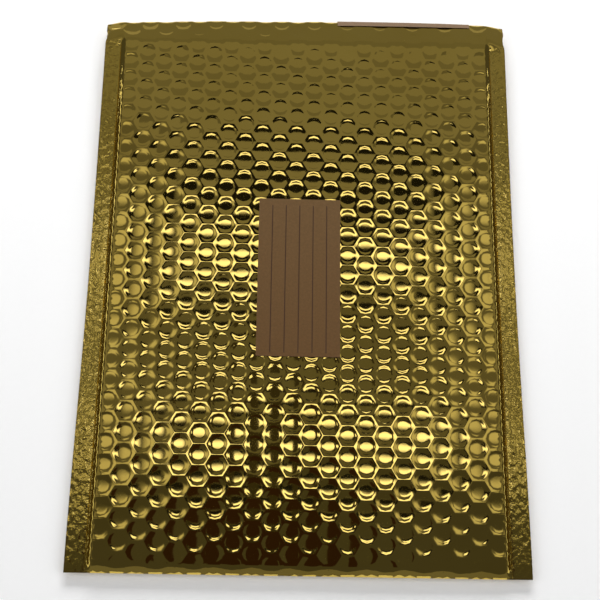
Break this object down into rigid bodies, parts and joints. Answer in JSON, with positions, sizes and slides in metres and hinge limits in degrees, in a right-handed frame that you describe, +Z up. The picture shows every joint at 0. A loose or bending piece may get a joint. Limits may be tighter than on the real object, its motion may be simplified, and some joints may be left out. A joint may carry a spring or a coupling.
{
  "type": "padded envelope",
  "caption": "Padded envelope of gold metallised bubble film, lying face up, flap folded under, with side heat seals, a ruled paper label and a sticker on the flap.",
  "frame": {"origin": "middle of the underside, on the table the envelope lies on", "axes": "+X to the right of the address face, +Y from the bottom fold to the mouth and flap, +Z up, out of the address face"},
  "size_m": [0.26, 0.3614, 0.0172],
  "materials": {
    "gold_film": "glossy metallised polyester film, gold, over air bubbles",
    "brown_paper": "matt brown paper label with thin ruled lines",
    "mauve_paper": "matt mauve-brown paper sticker",
    "clear_glue": "clear hot-melt adhesive strip",
    "silicone_paper": "white silicone-coated release paper"
  },
  "bodies": {
    "root": {"mailer_body": "gold_film", "address_label": "brown_paper", "flap_sticker": "mauve_paper", "adhesive_strip": "clear_glue", "release_liner": "silicone_paper"}
  },
  "joints": []
}
